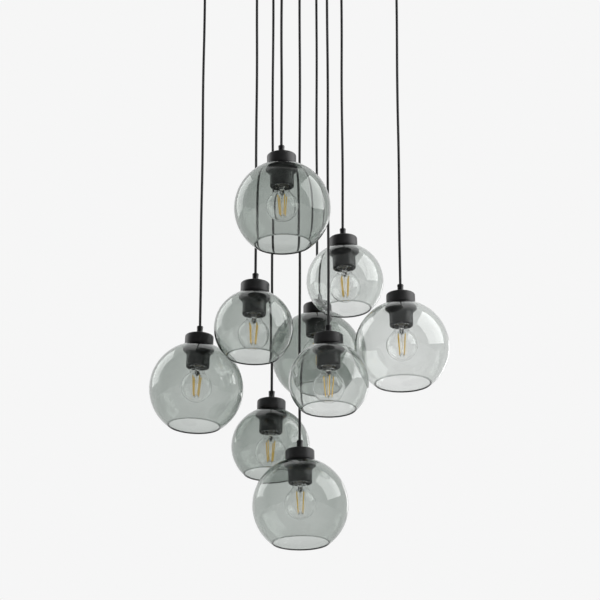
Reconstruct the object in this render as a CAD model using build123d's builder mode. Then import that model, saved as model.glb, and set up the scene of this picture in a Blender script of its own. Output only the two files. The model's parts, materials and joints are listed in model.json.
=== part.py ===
"""A cluster pendant: nine smoked glass globes on straight cords under a round canopy.

Millimetres, +Z up. The origin is the centre of the canopy's fixing face, in the
plane of the ceiling, and everything hangs below it. Each pendant is drawn about
its own axis with zero height at the lower rim of its cap, then hung in place.
"""

from build123d import *
from collections import namedtuple
from math import acos, cos, degrees, radians, sin, sqrt
import os

# --- Canopy ---------------------------------------------------------------
canopy_radius = 225.0
canopy_height = 30.0
canopy_sheet = 1.2
canopy_edge_radius = 4.0
bracket_thickness = 2.0
bracket_width = 30.0
bracket_ear_height = 15.0
bracket_end_gap = 0.5
fixing_spacing = 150.0
fixing_slot_width = 5.2
fixing_slot_length = 14.0
supply_hole_radius = 8.0
supply_hole_offset = 38.0
side_screw_radius = 2.0
side_screw_length = 8.0
side_screw_head_radius = 4.0
side_screw_head_height = 2.4

# --- Cord and its grips ---------------------------------------------------
cord_radius = 2.2
grip_stub_radius = 5.5
grip_stub_height = 12.0
grip_thread_radius = 5.0
grip_thread_height = 6.0
grip_mouth_radius = 4.4
grip_mouth_depth = 6.0
grip_nut_flats = 14.0
grip_nut_height = 3.0
cord_joint_gap = 0.5
cord_bore_gap = 0.4
cap_grip_height = 19.0
cap_grip_base_radius = 6.4
cap_grip_waist_radius = 5.7
cap_grip_top_radius = 6.1
cap_grip_base_height = 3.0
cap_grip_bore_depth = 6.0
tail_bend_radius = 5.0

# --- Terminal block -------------------------------------------------------
block_width = 18.0
block_height = 14.0
block_offset = 35.0
port_pitch = 18.0
port_count = 6
port_height = 9.5
port_depth = 7.0
port_lead_in = 9.0
clamp_screw_radius = 1.8
clamp_screw_depth = 1.5

# --- Cap ------------------------------------------------------------------
cap_radius = 27.5
cap_height = 21.0
cap_wall = 1.5
cap_edge_radius = 3.5

# --- Glass globes ---------------------------------------------------------
Globe = namedtuple("Globe", "radius mouth_radius")
globes = {
    "large": Globe(radius=90.0, mouth_radius=53.5),
    "small": Globe(radius=75.0, mouth_radius=50.5),
}
glass_wall = 2.8
glass_neck_radius = 21.5
seat_gap = 0.3

# --- Lampholder and shade ring --------------------------------------------
barrel_radius = 19.6
barrel_top = 15.0
barrel_bottom = -42.2
barrel_wall = 4.0
barrel_top_fillet = 4.0
nipple_radius = 4.9
nipple_bore_radius = 3.0
nipple_engagement = 6.0
insert_height = 6.0
insert_top = 3.0
insert_gap = 0.2
screw_shell_wall = 1.2
screw_shell_bottom = -33.0
contact_radius = 4.0
contact_thickness = 3.2
ring_clearance = 0.6
flange_radius = 28.5
flange_thickness = 3.5
flare_height = 11.0
skirt_radius = 22.5
skirt_bottom = -44.0
skirt_edge_radius = 3.0
skirt_mouth_radius = 18.0
skirt_lip = 1.5

# --- Bulb -----------------------------------------------------------------
bulb_radius = 30.0
bulb_length = 106.0
bulb_neck_radius = 14.2
bulb_neck_bottom = -44.0
bulb_shoulder_angle = 40.0
bulb_glass = 0.8
bulb_base_radius = 13.25
bulb_thread_depth = 0.7
bulb_thread_pitch = 3.63
bulb_thread_turns = 5
bulb_base_height = 27.0
bulb_tip_radius = 4.5
bulb_tip_height = 1.5
bulb_insulator_height = 4.5
bulb_running_gap = 0.3
filament_count = 4
filament_radius = 0.9
filament_length = 42.0
filament_top_circle = 9.5
filament_foot_circle = 6.0
filament_rise = 1.5
stem_flare_radius = 11.0
stem_radius = 2.5
stem_wire_radius = 0.6
filament_plate_height = 0.8
filament_plate_rim = 1.2
filament_gap = 0.1

# --- Where each pendant hangs ---------------------------------------------
centre_clearance = 25.0
inner_ring_radius = globes["small"].radius + centre_clearance
inner_ring_turn = 32.7
outer_clearance = 5.0
outer_ring_radius = inner_ring_radius + globes["large"].radius + outer_clearance
outer_ring_turn = -10.2
# place: the ring's radius and the cord hole's angle on it. drop: ceiling to the
# cap's rim. lean: degrees that the globe hangs over towards +X.
Pendant = namedtuple("Pendant", "number ring_radius angle globe drop lean")
pendants = [
    Pendant(1, outer_ring_radius, outer_ring_turn + 180, "large", 875.0, -2.5),
    Pendant(2, inner_ring_radius, inner_ring_turn + 180, "small", 800.0, -1.5),
    Pendant(3, inner_ring_radius, inner_ring_turn + 90, "small", 990.0, -1.0),
    Pendant(4, outer_ring_radius, outer_ring_turn + 270, "large", 595.0, 1.0),
    Pendant(5, 0.0, 0.0, "large", 1115.0, 0.6),
    Pendant(6, outer_ring_radius, outer_ring_turn + 90, "large", 755.0, 0.0),
    Pendant(7, inner_ring_radius, inner_ring_turn + 270, "small", 915.0, 0.0),
    Pendant(8, inner_ring_radius, inner_ring_turn, "small", 665.0, 2.0),
    Pendant(9, outer_ring_radius, outer_ring_turn, "large", 815.0, 0.7),
]
# Each tail's port: which side of the block it enters, and which port in the row.
tail_ports = {
    1: ("front", 0), 2: ("front", 1), 4: ("front", 2),
    5: ("front", 3), 7: ("front", 4), 9: ("front", 5),
    3: ("rear", 1), 6: ("rear", 3), 8: ("rear", 5),
}

# --- Heights worked out from the sizes above --------------------------------
canopy_floor = -canopy_height + canopy_sheet
grip_bottom = -canopy_height - grip_stub_height
pivot_height = grip_bottom + grip_mouth_depth
grip_top = canopy_floor + grip_thread_height
cap_grip_top = cap_height + cap_grip_height
contact_bottom = insert_top - insert_height - contact_thickness
bulb_tip_top = contact_bottom - bulb_running_gap
bulb_centre = bulb_tip_top - bulb_length + bulb_radius
bulb_base_bottom = bulb_tip_top - bulb_base_height
bulb_sleeve_top = bulb_tip_top - bulb_tip_height - bulb_insulator_height
filament_centre = bulb_centre + filament_rise


def hole_centre(pendant):
    """The cord hole's centre in the canopy, seen from above."""
    angle = radians(pendant.angle)
    return pendant.ring_radius * cos(angle), pendant.ring_radius * sin(angle)


def hang(pendant):
    """The place of a pendant's cap rim, leaning about the cord's entry."""
    x, y = hole_centre(pendant)
    entry = Location((x, y, cap_grip_top - pendant.drop))
    return entry * Location((0, 0, 0), (0, -pendant.lean, 0)) * Location((0, 0, -cap_grip_top))


def globe_centre(globe):
    """The globe's centre below the cap's rim, which sits on it at the cap's bore."""
    bore_radius = cap_radius - cap_wall
    return -sqrt(globe.radius**2 - bore_radius**2) - seat_gap


def write(name, solids):
    """Write one node, as one solid or as a group of separate ones."""
    node = solids[0] if len(solids) == 1 else Compound(children=solids)
    node.label = name
    export_step(node, f"parts/{name}.step")


def placed(master, place):
    """A copy of a finished piece, hung at its place."""
    with BuildPart() as copy:
        with Locations(place):
            add(master)
    return copy.part


# --- Canopy pieces ----------------------------------------------------------
def make_canopy_cover():
    with BuildPart() as cover:
        with BuildSketch(Plane.XY.offset(-canopy_height)):
            Circle(canopy_radius)
        extrude(amount=canopy_height)
        fillet(cover.faces().sort_by(Axis.Z)[0].edges(), canopy_edge_radius)
        offset(amount=-canopy_sheet, openings=cover.faces().sort_by(Axis.Z)[-1])
        with BuildSketch(Plane.XY.offset(-canopy_height)):
            for pendant in pendants:
                with Locations(hole_centre(pendant)):
                    Circle(grip_thread_radius + cord_bore_gap / 2)
        extrude(amount=canopy_sheet, mode=Mode.SUBTRACT)
        with BuildSketch(Plane.YZ.offset(-canopy_radius)):
            with Locations((0, -bracket_ear_height / 2 - bracket_thickness / 2)):
                Circle(side_screw_radius + cord_bore_gap / 2)
        extrude(amount=2 * canopy_radius, mode=Mode.SUBTRACT)
    return cover.part


def bracket_reach():
    """Half the bracket's length, with its ears' corners just clear of the cover."""
    bore_radius = canopy_radius - canopy_sheet - bracket_end_gap
    return sqrt(bore_radius**2 - (bracket_width / 2) ** 2)


def make_ceiling_bracket():
    reach = bracket_reach()
    inside = reach - bracket_thickness
    with BuildPart() as bracket:
        with BuildSketch(Plane.XZ.offset(-bracket_width / 2)):
            with BuildLine():
                Polyline(
                    (-reach, 0), (reach, 0),
                    (reach, -bracket_ear_height), (inside, -bracket_ear_height),
                    (inside, -bracket_thickness), (-inside, -bracket_thickness),
                    (-inside, -bracket_ear_height), (-reach, -bracket_ear_height),
                    close=True,
                )
            make_face()
        extrude(amount=bracket_width)
        bends = bracket.edges().filter_by(Axis.Y).group_by(Axis.Z)[-1]
        fillet(bends, bracket_thickness)
        with BuildSketch(Plane.XY.offset(-bracket_thickness)):
            with GridLocations(fixing_spacing, 0, 2, 1):
                SlotOverall(fixing_slot_length, fixing_slot_width)
            with Locations((supply_hole_offset, 0)):
                Circle(supply_hole_radius)
        extrude(amount=bracket_thickness, mode=Mode.SUBTRACT)
        with BuildSketch(Plane.YZ.offset(-reach)):
            with Locations((0, -bracket_ear_height / 2 - bracket_thickness / 2)):
                Circle(side_screw_radius + cord_bore_gap / 4)
        extrude(amount=2 * reach, mode=Mode.SUBTRACT)
    return bracket.part


def make_side_screw():
    """One pan-head screw, drawn along +X from the outside of the cover's wall."""
    with BuildPart() as screw:
        with BuildSketch(Plane.YZ.offset(canopy_radius)):
            Circle(side_screw_head_radius)
        extrude(amount=side_screw_head_height)
        fillet(screw.edges().sort_by(Axis.X)[-1], side_screw_head_height / 2)
        with BuildSketch(Plane.YZ.offset(canopy_radius)):
            Circle(side_screw_radius)
        extrude(amount=-side_screw_length)
        with BuildSketch(Plane.YZ.offset(canopy_radius + side_screw_head_height)):
            Rectangle(side_screw_head_radius, side_screw_head_height / 3)
        extrude(amount=-side_screw_head_height / 3, mode=Mode.SUBTRACT)
    return screw.part


def make_canopy_grip():
    """The threaded cord grip in the canopy, with a flared mouth for the cord."""
    bore_radius = cord_radius + cord_bore_gap
    with BuildPart() as grip:
        with BuildSketch(Plane.XZ):
            with BuildLine():
                Polyline(
                    (bore_radius, pivot_height), (grip_mouth_radius, grip_bottom),
                    (grip_stub_radius, grip_bottom), (grip_stub_radius, -canopy_height),
                    (grip_thread_radius, -canopy_height), (grip_thread_radius, grip_top),
                    (bore_radius, grip_top), close=True,
                )
            make_face()
        revolve(axis=Axis.Z)
        shoulder = grip.faces().filter_by(Axis.Z).sort_by(Axis.Z)[0]
        fillet(shoulder.edges().sort_by(SortBy.RADIUS)[-1], (grip_stub_radius - grip_mouth_radius) / 2)
    return grip.part


def make_grip_nut():
    with BuildPart() as nut:
        with BuildSketch(Plane.XY.offset(canopy_floor)):
            RegularPolygon(grip_nut_flats / 2, 6, major_radius=False)
            Circle(grip_thread_radius + cord_bore_gap / 4, mode=Mode.SUBTRACT)
        extrude(amount=grip_nut_height)
        chamfer(nut.faces().sort_by(Axis.Z)[-1].outer_wire().edges(), grip_nut_height / 6)
    return nut.part


def port_place(side, index):
    """The middle of a port's mouth on the terminal block."""
    x = (index - (port_count - 1) / 2) * port_pitch
    reach = block_width / 2
    return x, block_offset - reach if side == "front" else block_offset + reach


def make_terminal_block():
    with BuildPart() as block:
        with BuildSketch(Plane.XY.offset(canopy_floor)):
            with Locations((0, block_offset)):
                RectangleRounded(port_count * port_pitch, block_width, 2)
        extrude(amount=block_height)
        for side, outward in (("front", 1), ("rear", -1)):
            mouth = Plane.XZ.offset(-port_place(side, 0)[1])
            with BuildSketch(mouth):
                for index in range(port_count):
                    with Locations((port_place(side, index)[0], canopy_floor + port_height)):
                        Circle(cord_radius + cord_bore_gap / 2)
            extrude(amount=-outward * port_depth, mode=Mode.SUBTRACT)
        with BuildSketch(Plane.XY.offset(canopy_floor + block_height)):
            with Locations((0, block_offset)):
                with GridLocations(port_pitch, block_width / 2, port_count, 2):
                    Circle(clamp_screw_radius)
        extrude(amount=-clamp_screw_depth, mode=Mode.SUBTRACT)
    return block.part


def make_clamp_screw():
    """A grub screw, drawn at the first well of the terminal block."""
    top = canopy_floor + block_height - clamp_screw_depth / 3
    with BuildPart() as screw:
        with BuildSketch(Plane.XY.offset(canopy_floor + block_height - clamp_screw_depth)):
            Circle(clamp_screw_radius - cord_bore_gap / 4)
        extrude(amount=clamp_screw_depth * 2 / 3)
        with BuildSketch(Plane.XY.offset(top)):
            Rectangle(2 * clamp_screw_radius, clamp_screw_depth / 3)
        extrude(amount=-clamp_screw_depth / 3, mode=Mode.SUBTRACT)
    return screw.part


def make_tail(pendant):
    """A cord's tail: up through its grip, over, and across to its port."""
    side, index = tail_ports[pendant.number]
    x, y = hole_centre(pendant)
    port_x, mouth_y = port_place(side, index)
    outward = -1 if side == "front" else 1
    run_height = canopy_floor + port_height
    lead_in_y = mouth_y + outward * port_lead_in
    end_y = mouth_y - outward * (port_depth - seat_gap)
    start = (x, y, pivot_height + cord_joint_gap)
    over = (x, y, run_height)
    end = (port_x, end_y, run_height)
    lead_in = (port_x, lead_in_y, run_height)
    with BuildPart() as tail:
        with BuildLine() as route:
            FilletPolyline(start, over, lead_in, end, radius=tail_bend_radius)
        with BuildSketch(Plane(origin=start, z_dir=(0, 0, 1))):
            Circle(cord_radius)
        sweep(path=route.wire())
    return tail.part


# --- Pendant pieces ---------------------------------------------------------
def make_cord(pendant):
    x, y = hole_centre(pendant)
    bottom = cap_grip_top - pendant.drop - cap_grip_bore_depth + seat_gap
    with BuildPart() as cord:
        with BuildSketch(Plane.XY.offset(bottom)):
            with Locations((x, y)):
                Circle(cord_radius)
        extrude(amount=pivot_height - bottom)
    return cord.part


def make_cap_grip():
    """The plastic grip that stands on the cap and holds the cord."""
    base_top = cap_height + cap_grip_base_height
    waist_height = cap_height + cap_grip_height / 2
    with BuildPart() as grip:
        with BuildSketch(Plane.XZ):
            with BuildLine():
                Polyline(
                    (0, cap_grip_top), (0, cap_height),
                    (cap_grip_base_radius, cap_height), (cap_grip_base_radius, base_top),
                )
                ThreePointArc(
                    (cap_grip_base_radius, base_top),
                    (cap_grip_waist_radius, waist_height),
                    (cap_grip_top_radius, cap_grip_top),
                )
                Line((cap_grip_top_radius, cap_grip_top), (0, cap_grip_top))
            make_face()
        revolve(axis=Axis.Z)
        fillet(grip.edges().sort_by(Axis.Z)[-1], cap_grip_top_radius / 4)
        with BuildSketch(Plane.XY.offset(cap_grip_top)):
            Circle(cord_radius + cord_bore_gap)
        extrude(amount=-cap_grip_bore_depth, mode=Mode.SUBTRACT)
        with BuildSketch(Plane.XY.offset(cap_height)):
            Circle(nipple_radius + insert_gap / 2)
        extrude(amount=nipple_engagement, mode=Mode.SUBTRACT)
    return grip.part


def make_cap():
    with BuildPart() as cap:
        with BuildSketch(Plane.XY):
            Circle(cap_radius)
        extrude(amount=cap_height)
        fillet(cap.faces().sort_by(Axis.Z)[-1].edges(), cap_edge_radius)
        offset(amount=-cap_wall, openings=cap.faces().sort_by(Axis.Z)[0])
        with BuildSketch(Plane.XY.offset(cap_height)):
            Circle(nipple_radius + insert_gap / 2)
        extrude(amount=-cap_wall, mode=Mode.SUBTRACT)
    return cap.part


def make_glass(globe):
    """A blown globe: open at the neck under the cap, and at the rounded mouth."""
    centre = globe_centre(globe)
    inner_radius = globe.radius - glass_wall
    neck_outer = degrees(acos(glass_neck_radius / globe.radius))
    neck_inner = degrees(acos(glass_neck_radius / inner_radius))
    mouth = -degrees(acos(globe.mouth_radius / globe.radius))
    with BuildPart() as glass:
        with BuildSketch(Plane.XZ):
            with BuildLine():
                outer = CenterArc((0, centre), globe.radius, mouth, neck_outer - mouth)
                inner = CenterArc((0, centre), inner_radius, mouth, neck_inner - mouth)
                Line(outer @ 1, inner @ 1)
                Line(outer @ 0, inner @ 0)
            make_face()
        revolve(axis=Axis.Z)
        rim = glass.faces().sort_by(Axis.Z)[0].edges().filter_by(GeomType.CIRCLE)
        fillet(rim, glass_wall * 0.45)
    return glass.part


def make_shade_ring(globe):
    """The flared ring that clamps the glass, with the skirt round the barrel."""
    centre = globe_centre(globe)
    contact_radius_of_glass = globe.radius - glass_wall - seat_gap
    bore_radius = barrel_radius + ring_clearance
    collar_top = centre + sqrt(contact_radius_of_glass**2 - bore_radius**2)
    flange_top = centre + sqrt(contact_radius_of_glass**2 - flange_radius**2)
    flange_bottom = flange_top - flange_thickness
    flare_bottom = flange_bottom - flare_height
    # The flare bends inward, a fifth of the way from its chord.
    flare_middle = (
        skirt_radius + (flange_radius - skirt_radius) * 0.22,
        flange_bottom - flare_height * 0.4,
    )
    with BuildPart() as ring:
        with BuildSketch(Plane.XZ):
            with BuildLine():
                RadiusArc((bore_radius, collar_top), (flange_radius, flange_top), contact_radius_of_glass)
                Line((flange_radius, flange_top), (flange_radius, flange_bottom))
                ThreePointArc((flange_radius, flange_bottom), flare_middle, (skirt_radius, flare_bottom))
                Polyline(
                    (skirt_radius, flare_bottom), (skirt_radius, skirt_bottom),
                    (skirt_mouth_radius, skirt_bottom), (skirt_mouth_radius, skirt_bottom + skirt_lip),
                    (bore_radius, skirt_bottom + skirt_lip), (bore_radius, collar_top),
                )
            make_face()
        revolve(axis=Axis.Z)
        lowest = ring.edges().group_by(Axis.Z)[0]
        fillet(lowest.sort_by(SortBy.RADIUS)[-1], skirt_edge_radius)
    return ring.part


def make_barrel():
    bore_radius = barrel_radius - barrel_wall
    with BuildPart() as barrel:
        with BuildSketch(Plane.XY.offset(barrel_bottom)):
            Circle(barrel_radius)
        extrude(amount=barrel_top - barrel_bottom)
        fillet(barrel.faces().sort_by(Axis.Z)[-1].edges(), barrel_top_fillet)
        with BuildSketch(Plane.XY.offset(barrel_bottom)):
            Circle(bore_radius)
        extrude(amount=insert_top + insert_gap - barrel_bottom, mode=Mode.SUBTRACT)
        with BuildSketch(Plane.XY.offset(insert_top)):
            Circle(bore_radius - barrel_wall)
        extrude(amount=barrel_top - barrel_wall - insert_top, mode=Mode.SUBTRACT)
        with BuildSketch(Plane.XY.offset(barrel_top)):
            Circle(nipple_radius + insert_gap / 2)
        extrude(amount=-barrel_wall, mode=Mode.SUBTRACT)
    return barrel.part


def make_nipple():
    with BuildPart() as nipple:
        with BuildSketch(Plane.XY.offset(barrel_top - barrel_wall)):
            Circle(nipple_radius)
            Circle(nipple_bore_radius, mode=Mode.SUBTRACT)
        extrude(amount=cap_height + nipple_engagement - seat_gap - barrel_top + barrel_wall)
    return nipple.part


def make_insert():
    """The insulating plate that carries the contacts."""
    with BuildPart() as insert:
        with BuildSketch(Plane.XY.offset(insert_top - insert_height)):
            Circle(barrel_radius - barrel_wall - insert_gap)
        extrude(amount=insert_height)
        with BuildSketch(Plane.XY.offset(insert_top - insert_height)):
            with GridLocations(2 * contact_radius + 4, 0, 2, 1):
                Circle(contact_radius / 3)
        extrude(amount=insert_height, mode=Mode.SUBTRACT)
    return insert.part


def make_contact():
    """The sprung centre contact, just above the bulb's tip."""
    with BuildPart() as contact:
        with BuildSketch(Plane.XY.offset(contact_bottom)):
            Circle(contact_radius)
        extrude(amount=contact_thickness)
        fillet(contact.faces().sort_by(Axis.Z)[0].edges(), bulb_running_gap)
    return contact.part


def make_screw_shell():
    outer_radius = barrel_radius - barrel_wall - insert_gap
    with BuildPart() as shell:
        with BuildSketch(Plane.XY.offset(screw_shell_bottom)):
            Circle(outer_radius)
            Circle(outer_radius - screw_shell_wall, mode=Mode.SUBTRACT)
        extrude(amount=insert_top - insert_height - screw_shell_bottom)
    return shell.part


# --- Bulb pieces --------------------------------------------------------------
def make_bulb_base():
    """The cap of the bulb: threaded sleeve, insulator and tip as one piece."""
    root_radius = bulb_base_radius - bulb_thread_depth
    with BuildPart() as base:
        with BuildSketch(Plane.XZ):
            with BuildLine():
                thread_bottom = bulb_sleeve_top - bulb_thread_turns * bulb_thread_pitch
                Polyline(
                    (0, bulb_base_bottom), (bulb_neck_radius - bulb_glass, bulb_base_bottom),
                    (root_radius, thread_bottom),
                )
                for turn in range(bulb_thread_turns):
                    low = thread_bottom + turn * bulb_thread_pitch
                    ThreePointArc(
                        (root_radius, low),
                        (bulb_base_radius, low + bulb_thread_pitch / 2),
                        (root_radius, low + bulb_thread_pitch),
                    )
                Polyline(
                    (root_radius, bulb_sleeve_top),
                    (bulb_tip_radius, bulb_tip_top - bulb_tip_height),
                    (bulb_tip_radius * 0.8, bulb_tip_top), (0, bulb_tip_top),
                    (0, bulb_base_bottom),
                )
            make_face()
        revolve(axis=Axis.Z)
    return base.part


def bulb_section(inset):
    """Half the envelope's section, drawn in from its outside by an inset."""
    shoulder = radians(bulb_shoulder_angle)
    side = (shoulder - radians(90)) / 2
    radius = bulb_radius - inset
    neck_radius = bulb_neck_radius - inset
    meeting = (radius * cos(shoulder), bulb_centre + radius * sin(shoulder))
    foot = (0, bulb_centre - radius)
    with BuildSketch(Plane.XZ) as section:
        with BuildLine():
            Polyline((0, bulb_base_bottom), (neck_radius, bulb_base_bottom), (neck_radius, bulb_neck_bottom))
            Spline(
                (neck_radius, bulb_neck_bottom), meeting,
                tangents=((0, -1), (sin(shoulder), -cos(shoulder))),
            )
            ThreePointArc(meeting, (radius * cos(side), bulb_centre + radius * sin(side)), foot)
            Line(foot, (0, bulb_base_bottom))
        make_face()
    return section.sketch


def make_bulb_envelope():
    with BuildPart() as envelope:
        revolve(bulb_section(0), axis=Axis.Z)
        revolve(bulb_section(bulb_glass), axis=Axis.Z, mode=Mode.SUBTRACT)
    return envelope.part


def make_stem():
    """The glass stem and the wires that hold the filaments."""
    top_plate = filament_centre + filament_length / 2
    foot_plate = filament_centre - filament_length / 2
    flare_bottom = bulb_neck_bottom - stem_radius
    with BuildPart() as stem:
        with BuildSketch(Plane.XZ):
            with BuildLine():
                Polyline(
                    (0, bulb_base_bottom - filament_gap), (stem_flare_radius, bulb_base_bottom - filament_gap),
                    (stem_flare_radius, bulb_base_bottom - 1), (stem_radius, flare_bottom),
                    (stem_radius, top_plate), (filament_top_circle + filament_plate_rim, top_plate),
                    (filament_top_circle + filament_plate_rim, top_plate - filament_plate_height),
                    (stem_wire_radius, top_plate - filament_plate_height),
                    (stem_wire_radius, foot_plate + filament_plate_height),
                    (filament_foot_circle + filament_plate_rim, foot_plate + filament_plate_height),
                    (filament_foot_circle + filament_plate_rim, foot_plate), (0, foot_plate),
                    close=True,
                )
            make_face()
        revolve(axis=Axis.Z)
        # Only narrow arms of each plate are left, one to each filament.
        for height, reach in ((top_plate, filament_top_circle), (foot_plate + filament_plate_height, filament_foot_circle)):
            with BuildSketch(Plane.XY.offset(height)):
                Circle(reach + 2 * filament_plate_rim)
                with PolarLocations(reach / 2, filament_count):
                    Rectangle(reach + 2 * filament_plate_rim, 2 * filament_plate_rim, mode=Mode.SUBTRACT)
                Circle(stem_radius, mode=Mode.SUBTRACT)
            extrude(amount=-filament_plate_height, mode=Mode.SUBTRACT)
    return stem.part


def make_filament():
    """One filament, from the upper arm to the lower, leaning in to the foot."""
    clear = filament_plate_height + filament_gap + filament_radius * 0.1
    top = Vector(filament_top_circle, 0, filament_centre + filament_length / 2 - clear)
    foot = Vector(filament_foot_circle, 0, filament_centre - filament_length / 2 + clear)
    with BuildPart() as filament:
        with BuildSketch(Plane(origin=foot, z_dir=top - foot)):
            Circle(filament_radius)
        extrude(amount=(top - foot).length)
    return filament.part


# --- Write every node ---------------------------------------------------------
def main():
    os.makedirs("parts", exist_ok=True)

    write("canopy_cover", [make_canopy_cover()])
    write("ceiling_bracket", [make_ceiling_bracket()])
    screw = make_side_screw()
    screw_height = -bracket_ear_height / 2 - bracket_thickness / 2
    screw_places = [Location((0, 0, screw_height), (0, 0, turn)) for turn in (0, 180)]
    write("canopy_screws", [placed(screw, place) for place in screw_places])

    grip = make_canopy_grip()
    nut = make_grip_nut()
    holes = [Location((*hole_centre(pendant), 0)) for pendant in pendants]
    write("canopy_cord_grips", [placed(piece, hole) for hole in holes for piece in (grip, nut)])
    clamp_screw = make_clamp_screw()
    wells = [
        Location((port_place(side, index)[0], block_offset + offset_y, 0))
        for side, offset_y in (("front", -block_width / 4), ("rear", block_width / 4))
        for index in range(port_count)
    ]
    write("terminal_block", [make_terminal_block()] + [placed(clamp_screw, well) for well in wells])
    write("cord_tails", [make_tail(pendant) for pendant in pendants])

    cap_grip = make_cap_grip()
    cap = make_cap()
    glass = {name: make_glass(globe) for name, globe in globes.items()}
    ring = {name: make_shade_ring(globe) for name, globe in globes.items()}
    holder_pieces = [make_barrel(), make_nipple(), make_insert(), make_contact(), make_screw_shell()]
    filament = make_filament()
    turns = [Location((0, 0, 0), (0, 0, 360 * turn / filament_count)) for turn in range(filament_count)]
    bulb_pieces = [make_bulb_base(), make_bulb_envelope(), make_stem()]
    bulb_pieces += [placed(filament, turn) for turn in turns]

    for pendant in pendants:
        place = hang(pendant)
        number = pendant.number
        write(f"cord_{number}", [make_cord(pendant)])
        write(f"cord_grip_{number}", [placed(cap_grip, place)])
        write(f"cap_{number}", [placed(cap, place)])
        holder = [placed(piece, place) for piece in holder_pieces + [ring[pendant.globe]]]
        write(f"lampholder_{number}", holder)
        write(f"glass_shade_{number}", [placed(glass[pendant.globe], place)])
        write(f"bulb_{number}", [placed(piece, place) for piece in bulb_pieces])


main()
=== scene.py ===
"""The looks of a cluster pendant: nine smoked glass globes on black cords under a round canopy.

Metres, +Z up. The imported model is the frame: every size and place that it holds is read
from it. Each pendant's own pieces are drawn about its axis, with zero height at the
lower rim of its cap, and are then hung where the frame's joints say.
"""

import json
import math

import bpy
from bpy.props import FloatProperty, FloatVectorProperty, IntProperty, PointerProperty
from mathutils import Matrix, Quaternion, Vector, noise
from mathutils.geometry import interpolate_bezier

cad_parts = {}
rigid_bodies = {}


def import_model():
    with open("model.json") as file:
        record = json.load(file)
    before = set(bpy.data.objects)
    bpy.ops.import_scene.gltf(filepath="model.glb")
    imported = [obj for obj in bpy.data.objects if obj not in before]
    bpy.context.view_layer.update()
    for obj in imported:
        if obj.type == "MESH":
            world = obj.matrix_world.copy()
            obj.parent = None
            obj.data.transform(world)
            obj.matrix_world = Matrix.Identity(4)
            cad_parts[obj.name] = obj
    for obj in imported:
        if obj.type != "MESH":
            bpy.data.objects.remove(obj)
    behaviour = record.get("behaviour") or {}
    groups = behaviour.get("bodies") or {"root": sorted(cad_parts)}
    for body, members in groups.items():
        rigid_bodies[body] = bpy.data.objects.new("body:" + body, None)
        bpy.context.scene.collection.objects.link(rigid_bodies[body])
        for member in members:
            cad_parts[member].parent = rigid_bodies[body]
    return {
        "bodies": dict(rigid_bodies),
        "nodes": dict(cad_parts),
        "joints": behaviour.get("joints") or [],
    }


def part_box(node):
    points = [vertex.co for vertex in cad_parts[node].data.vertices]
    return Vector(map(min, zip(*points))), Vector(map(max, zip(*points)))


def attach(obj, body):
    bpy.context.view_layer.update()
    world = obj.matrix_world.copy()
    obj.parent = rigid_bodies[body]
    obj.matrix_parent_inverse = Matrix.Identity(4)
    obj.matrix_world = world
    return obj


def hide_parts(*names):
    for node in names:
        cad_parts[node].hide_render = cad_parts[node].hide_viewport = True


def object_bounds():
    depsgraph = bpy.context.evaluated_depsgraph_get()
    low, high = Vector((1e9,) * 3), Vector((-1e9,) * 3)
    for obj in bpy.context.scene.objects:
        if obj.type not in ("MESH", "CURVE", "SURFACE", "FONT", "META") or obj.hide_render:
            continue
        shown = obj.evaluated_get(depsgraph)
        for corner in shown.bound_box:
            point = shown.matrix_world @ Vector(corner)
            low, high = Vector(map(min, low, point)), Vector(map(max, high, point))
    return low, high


bl_info = {
    "name": "Cluster pendant",
    "version": (1, 0, 0),
    "blender": (4, 5, 0),
    "location": "3D View > Sidebar > Pendant",
    "description": "Dresses a cluster pendant's globes, caps, lampholders, bulbs, cords and canopy",
    "category": "Object",
}

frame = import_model()
cad_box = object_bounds()

MM = 0.001
BULB_CENTRE = -82.5 * MM
# How far below the bulb's tip its sleeve starts and ends.
SLEEVE_TOP, SLEEVE_FOOT = 6 * MM, 31 * MM
# How much thicker than in the CAD the photo shows the cords.
CORD_THICKENING = 1.14
# One step of the cords' set, in mm.
CORD_STEP = 1.5
PENDANTS = sorted(int(body.split("_")[1]) for body in frame["bodies"] if body.startswith("pendant_"))

# How deep each globe's smoke is, as a share of the deepest one's: blown glass varies.
SMOKE = {1: 0.76, 2: 0.77, 3: 0.92, 4: 0.96, 5: 0.73, 6: 1.0, 7: 0.49, 8: 0.46, 9: 0.35}
# How far round each bulb came to rest when it was screwed in, in degrees.
BULB_TURN = {1: 36, 2: 38, 3: 60, 4: 30, 5: 45, 6: 38, 7: 8, 8: 52, 9: 45}
# Each cord's slight set from being coiled: (share of the way down, steps to the right).
CORD_WAVES = {
    1: ((0.18, 0.5), (0.36, -0.6), (0.55, 0.4), (0.74, -0.7), (0.88, 0.3)),
    2: ((0.22, -0.5), (0.41, 0.5), (0.63, -0.4), (0.82, 0.5)),
    3: ((0.15, 0.4), (0.33, -0.5), (0.52, 0.6), (0.71, -0.4), (0.87, 0.3)),
    4: ((0.28, 0.4), (0.52, -0.5), (0.76, 0.3)),
    5: ((0.14, -0.4), (0.30, 0.5), (0.47, -0.5), (0.66, 0.4), (0.84, -0.5)),
    6: ((0.24, 0.5), (0.47, -0.4), (0.70, 0.5)),
    7: ((0.20, -0.5), (0.42, 0.6), (0.61, -0.5), (0.81, 0.4)),
    8: ((0.26, 0.5), (0.50, -0.5), (0.75, 0.6)),
    9: ((0.21, 0.6), (0.44, -0.5), (0.66, 0.5), (0.84, -0.4)),
}


def node_radius(node):
    """Half a round node's width along Y, which no pendant's lean changes."""
    low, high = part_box(node)
    return (high.y - low.y) / 2


# --- Settings -----------------------------------------------------------------
def length(name, description, default):
    return FloatProperty(name=name, description=description, default=default, precision=4, unit="LENGTH")


def colour(name, description, default):
    return FloatVectorProperty(
        name=name, description=description, default=default, size=4, min=0, max=1, subtype="COLOR"
    )


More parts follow.
